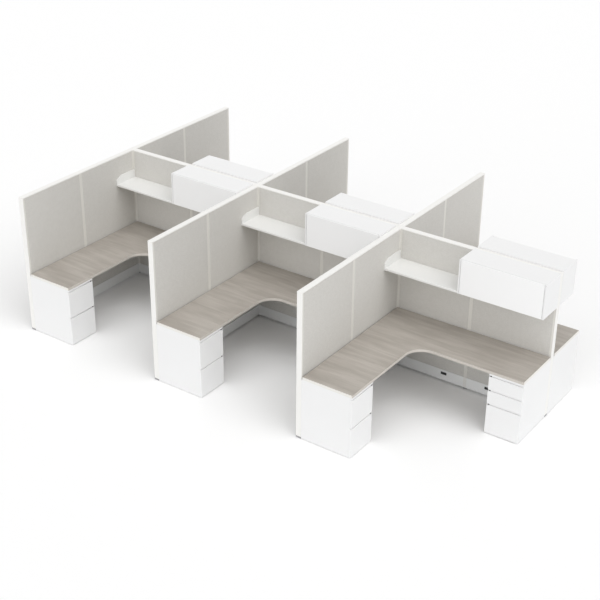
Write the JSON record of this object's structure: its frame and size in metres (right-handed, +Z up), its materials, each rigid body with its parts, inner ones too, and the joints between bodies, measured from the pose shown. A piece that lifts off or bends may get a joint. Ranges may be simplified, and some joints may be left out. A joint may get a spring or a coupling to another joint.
{
  "type": "cubicle workstation",
  "caption": "Cluster of panelled office workstations with L-shaped worktops, drawer pedestals, open shelves and lift-up overhead cabinets on a shared spine.",
  "frame": {"origin": "centre of the cluster's footprint at floor level, on the spine's middle plane", "axes": "+X along the spine towards its free end, +Y from the front row to the back row, +Z up"},
  "size_m": [5.684, 3.692, 1.692],
  "materials": {
    "frame_steel": "satin grey paint",
    "core_board": "raw fibreboard",
    "tile_fabric": "plain woven panel cloth",
    "trim_paint": "satin off-white paint",
    "raceway_plastic": "fine matt",
    "receptacle_plastic": "satin black",
    "glide_plastic": "matt dark grey",
    "worktop_laminate": "satin grey-brown woodgrain laminate",
    "user_edge_plastic": "satin greige",
    "end_edge_plastic": "satin off-white",
    "bracket_steel": "satin grey paint",
    "case_paint": "fine satin white",
    "front_paint": "fine satin white",
    "slide_steel": "zinc plated"
  },
  "bodies": {
    "cluster": {"fin_uprights": "frame_steel", "spine_uprights": "frame_steel", "panel_rails": "frame_steel", "panel_cores": "core_board", "fabric_tiles": "tile_fabric", "reveal_strips": "trim_paint", "top_caps": "trim_paint", "end_trims": "trim_paint", "junction_posts": "trim_paint", "raceway_covers": "raceway_plastic", "receptacles": "receptacle_plastic", "panel_glides": "glide_plastic", "worktops": "worktop_laminate", "user_edge_bands": "user_edge_plastic", "end_edge_bands": "end_edge_plastic", "worktop_brackets": "bracket_steel", "file_pedestal_cases": "case_paint", "box_pedestal_cases": "case_paint", "pedestal_glides": "glide_plastic", "drawer_slides": "slide_steel", "overhead_cases": "case_paint", "open_shelves": "case_paint", "overhead_brackets": "case_paint", "door_hinge_pins": "slide_steel"},
    "front_a_file_drawer_upper": {"front_a_file_drawer_upper": "front_paint"},
    "front_a_file_drawer_lower": {"front_a_file_drawer_lower": "front_paint"},
    "front_a_box_drawer_top": {"front_a_box_drawer_top": "front_paint"},
    "front_a_box_drawer_middle": {"front_a_box_drawer_middle": "front_paint"},
    "front_a_file_drawer_bottom": {"front_a_file_drawer_bottom": "front_paint"},
    "front_a_overhead_door": {"front_a_overhead_door": "front_paint"},
    "front_b_file_drawer_upper": {"front_b_file_drawer_upper": "front_paint"},
    "front_b_file_drawer_lower": {"front_b_file_drawer_lower": "front_paint"},
    "front_b_box_drawer_top": {"front_b_box_drawer_top": "front_paint"},
    "front_b_box_drawer_middle": {"front_b_box_drawer_middle": "front_paint"},
    "front_b_file_drawer_bottom": {"front_b_file_drawer_bottom": "front_paint"},
    "front_b_overhead_door": {"front_b_overhead_door": "front_paint"},
    "front_c_file_drawer_upper": {"front_c_file_drawer_upper": "front_paint"},
    "front_c_file_drawer_lower": {"front_c_file_drawer_lower": "front_paint"},
    "front_c_box_drawer_top": {"front_c_box_drawer_top": "front_paint"},
    "front_c_box_drawer_middle": {"front_c_box_drawer_middle": "front_paint"},
    "front_c_file_drawer_bottom": {"front_c_file_drawer_bottom": "front_paint"},
    "front_c_overhead_door": {"front_c_overhead_door": "front_paint"},
    "back_a_file_drawer_upper": {"back_a_file_drawer_upper": "front_paint"},
    "back_a_file_drawer_lower": {"back_a_file_drawer_lower": "front_paint"},
    "back_a_box_drawer_top": {"back_a_box_drawer_top": "front_paint"},
    "back_a_box_drawer_middle": {"back_a_box_drawer_middle": "front_paint"},
    "back_a_file_drawer_bottom": {"back_a_file_drawer_bottom": "front_paint"},
    "back_a_overhead_door": {"back_a_overhead_door": "front_paint"},
    "back_b_file_drawer_upper": {"back_b_file_drawer_upper": "front_paint"},
    "back_b_file_drawer_lower": {"back_b_file_drawer_lower": "front_paint"},
    "back_b_box_drawer_top": {"back_b_box_drawer_top": "front_paint"},
    "back_b_box_drawer_middle": {"back_b_box_drawer_middle": "front_paint"},
    "back_b_file_drawer_bottom": {"back_b_file_drawer_bottom": "front_paint"},
    "back_b_overhead_door": {"back_b_overhead_door": "front_paint"},
    "back_c_file_drawer_upper": {"back_c_file_drawer_upper": "front_paint"},
    "back_c_file_drawer_lower": {"back_c_file_drawer_lower": "front_paint"},
    "back_c_box_drawer_top": {"back_c_box_drawer_top": "front_paint"},
    "back_c_box_drawer_middle": {"back_c_box_drawer_middle": "front_paint"},
    "back_c_file_drawer_bottom": {"back_c_file_drawer_bottom": "front_paint"},
    "back_c_overhead_door": {"back_c_overhead_door": "front_paint"}
  },
  "joints": [
    {"name": "front_a_file_drawer_upper_slide", "type": "slide", "parent": "cluster", "child": "front_a_file_drawer_upper", "axis": [1, 0, 0], "range_m": [0, 0.45]},
    {"name": "front_a_file_drawer_lower_slide", "type": "slide", "parent": "cluster", "child": "front_a_file_drawer_lower", "axis": [1, 0, 0], "range_m": [0, 0.45]},
    {"name": "front_a_box_drawer_top_slide", "type": "slide", "parent": "cluster", "child": "front_a_box_drawer_top", "axis": [0, -1, 0], "range_m": [0, 0.45]},
    {"name": "front_a_box_drawer_middle_slide", "type": "slide", "parent": "cluster", "child": "front_a_box_drawer_middle", "axis": [0, -1, 0], "range_m": [0, 0.45]},
    {"name": "front_a_file_drawer_bottom_slide", "type": "slide", "parent": "cluster", "child": "front_a_file_drawer_bottom", "axis": [0, -1, 0], "range_m": [0, 0.45]},
    {"name": "front_a_overhead_door_hinge", "type": "hinge", "parent": "cluster", "child": "front_a_overhead_door", "pos_m": [-1.42555, -0.343, 1.681], "axis": [-1, 0, 0], "range_deg": [0, 90]},
    {"name": "front_b_file_drawer_upper_slide", "type": "slide", "parent": "cluster", "child": "front_b_file_drawer_upper", "axis": [1, 0, 0], "range_m": [0, 0.45]},
    {"name": "front_b_file_drawer_lower_slide", "type": "slide", "parent": "cluster", "child": "front_b_file_drawer_lower", "axis": [1, 0, 0], "range_m": [0, 0.45]},
    {"name": "front_b_box_drawer_top_slide", "type": "slide", "parent": "cluster", "child": "front_b_box_drawer_top", "axis": [0, -1, 0], "range_m": [0, 0.45]},
    {"name": "front_b_box_drawer_middle_slide", "type": "slide", "parent": "cluster", "child": "front_b_box_drawer_middle", "axis": [0, -1, 0], "range_m": [0, 0.45]},
    {"name": "front_b_file_drawer_bottom_slide", "type": "slide", "parent": "cluster", "child": "front_b_file_drawer_bottom", "axis": [0, -1, 0], "range_m": [0, 0.45]},
    {"name": "front_b_overhead_door_hinge", "type": "hinge", "parent": "cluster", "child": "front_b_overhead_door", "pos_m": [0.46645, -0.343, 1.681], "axis": [-1, 0, 0], "range_deg": [0, 90]},
    {"name": "front_c_file_drawer_upper_slide", "type": "slide", "parent": "cluster", "child": "front_c_file_drawer_upper", "axis": [1, 0, 0], "range_m": [0, 0.45]},
    {"name": "front_c_file_drawer_lower_slide", "type": "slide", "parent": "cluster", "child": "front_c_file_drawer_lower", "axis": [1, 0, 0], "range_m": [0, 0.45]},
    {"name": "front_c_box_drawer_top_slide", "type": "slide", "parent": "cluster", "child": "front_c_box_drawer_top", "axis": [0, -1, 0], "range_m": [0, 0.45]},
    {"name": "front_c_box_drawer_middle_slide", "type": "slide", "parent": "cluster", "child": "front_c_box_drawer_middle", "axis": [0, -1, 0], "range_m": [0, 0.45]},
    {"name": "front_c_file_drawer_bottom_slide", "type": "slide", "parent": "cluster", "child": "front_c_file_drawer_bottom", "axis": [0, -1, 0], "range_m": [0, 0.45]},
    {"name": "front_c_overhead_door_hinge", "type": "hinge", "parent": "cluster", "child": "front_c_overhead_door", "pos_m": [2.36285, -0.343, 1.681], "axis": [-1, 0, 0], "range_deg": [0, 90]},
    {"name": "back_a_file_drawer_upper_slide", "type": "slide", "parent": "cluster", "child": "back_a_file_drawer_upper", "axis": [1, 0, 0], "range_m": [0, 0.45]},
    {"name": "back_a_file_drawer_lower_slide", "type": "slide", "parent": "cluster", "child": "back_a_file_drawer_lower", "axis": [1, 0, 0], "range_m": [0, 0.45]},
    {"name": "back_a_box_drawer_top_slide", "type": "slide", "parent": "cluster", "child": "back_a_box_drawer_top", "axis": [0, 1, 0], "range_m": [0, 0.45]},
    {"name": "back_a_box_drawer_middle_slide", "type": "slide", "parent": "cluster", "child": "back_a_box_drawer_middle", "axis": [0, 1, 0], "range_m": [0, 0.45]},
    {"name": "back_a_file_drawer_bottom_slide", "type": "slide", "parent": "cluster", "child": "back_a_file_drawer_bottom", "axis": [0, 1, 0], "range_m": [0, 0.45]},
    {"name": "back_a_overhead_door_hinge", "type": "hinge", "parent": "cluster", "child": "back_a_overhead_door", "pos_m": [-1.42555, 0.343, 1.681], "axis": [1, 0, 0], "range_deg": [0, 90]},
    {"name": "back_b_file_drawer_upper_slide", "type": "slide", "parent": "cluster", "child": "back_b_file_drawer_upper", "axis": [1, 0, 0], "range_m": [0, 0.45]},
    {"name": "back_b_file_drawer_lower_slide", "type": "slide", "parent": "cluster", "child": "back_b_file_drawer_lower", "axis": [1, 0, 0], "range_m": [0, 0.45]},
    {"name": "back_b_box_drawer_top_slide", "type": "slide", "parent": "cluster", "child": "back_b_box_drawer_top", "axis": [0, 1, 0], "range_m": [0, 0.45]},
    {"name": "back_b_box_drawer_middle_slide", "type": "slide", "parent": "cluster", "child": "back_b_box_drawer_middle", "axis": [0, 1, 0], "range_m": [0, 0.45]},
    {"name": "back_b_file_drawer_bottom_slide", "type": "slide", "parent": "cluster", "child": "back_b_file_drawer_bottom", "axis": [0, 1, 0], "range_m": [0, 0.45]},
    {"name": "back_b_overhead_door_hinge", "type": "hinge", "parent": "cluster", "child": "back_b_overhead_door", "pos_m": [0.46645, 0.343, 1.681], "axis": [1, 0, 0], "range_deg": [0, 90]},
    {"name": "back_c_file_drawer_upper_slide", "type": "slide", "parent": "cluster", "child": "back_c_file_drawer_upper", "axis": [1, 0, 0], "range_m": [0, 0.45]},
    {"name": "back_c_file_drawer_lower_slide", "type": "slide", "parent": "cluster", "child": "back_c_file_drawer_lower", "axis": [1, 0, 0], "range_m": [0, 0.45]},
    {"name": "back_c_box_drawer_top_slide", "type": "slide", "parent": "cluster", "child": "back_c_box_drawer_top", "axis": [0, 1, 0], "range_m": [0, 0.45]},
    {"name": "back_c_box_drawer_middle_slide", "type": "slide", "parent": "cluster", "child": "back_c_box_drawer_middle", "axis": [0, 1, 0], "range_m": [0, 0.45]},
    {"name": "back_c_file_drawer_bottom_slide", "type": "slide", "parent": "cluster", "child": "back_c_file_drawer_bottom", "axis": [0, 1, 0], "range_m": [0, 0.45]},
    {"name": "back_c_overhead_door_hinge", "type": "hinge", "parent": "cluster", "child": "back_c_overhead_door", "pos_m": [2.36285, 0.343, 1.681], "axis": [1, 0, 0], "range_deg": [0, 90]}
  ]
}
